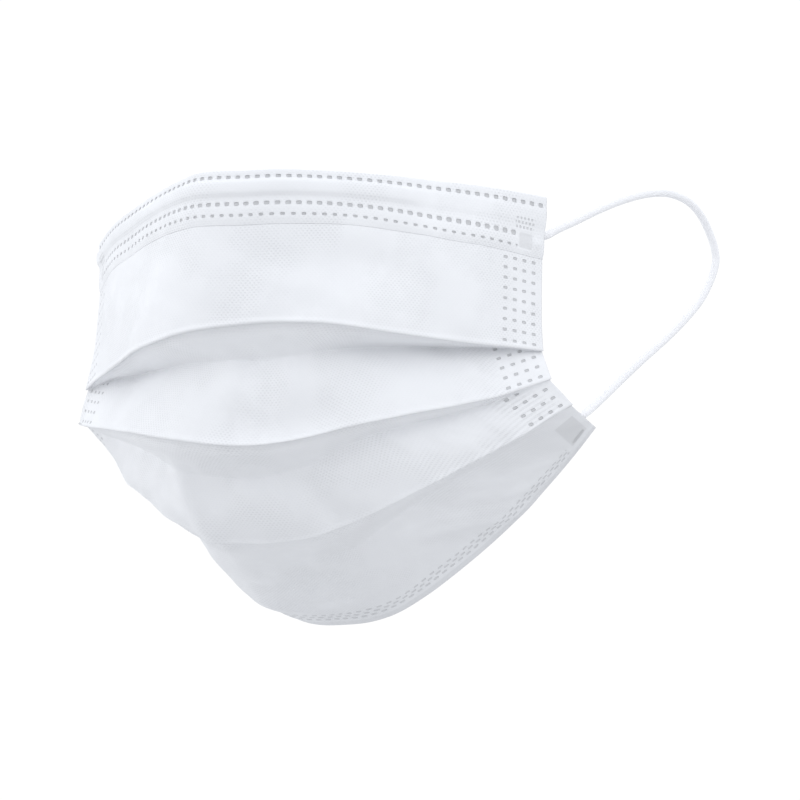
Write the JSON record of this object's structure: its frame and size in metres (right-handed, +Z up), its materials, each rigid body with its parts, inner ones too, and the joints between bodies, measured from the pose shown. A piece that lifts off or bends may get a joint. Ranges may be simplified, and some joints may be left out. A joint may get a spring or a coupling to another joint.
{
  "type": "surgical face mask",
  "caption": "Pleated sheet of bonded nonwoven cloth that covers nose, mouth and chin, held by elastic ear loops, opened out as worn.",
  "frame": {"origin": "the inside of the top edge at its middle, where the mask sits on the bridge of the nose", "axes": "+X towards the wearer's left, -Y out of the front of the mask, +Z up"},
  "size_m": [0.1838, 0.148, 0.1238],
  "materials": {
    "nonwoven": "matt bonded nonwoven, white",
    "coated_wire": "white plastic coat over wire, hidden in the hem",
    "elastic": "matt knitted elastic, white"
  },
  "bodies": {
    "root": {"mask_body": "nonwoven", "top_hem": "nonwoven", "bottom_hem": "nonwoven", "nose_wire": "coated_wire", "loop_end_top_left": "elastic", "loop_end_chin_left": "elastic", "ear_loop_left": "elastic", "loop_end_top_right": "elastic", "loop_end_chin_right": "elastic", "ear_loop_right": "elastic"}
  },
  "joints": []
}
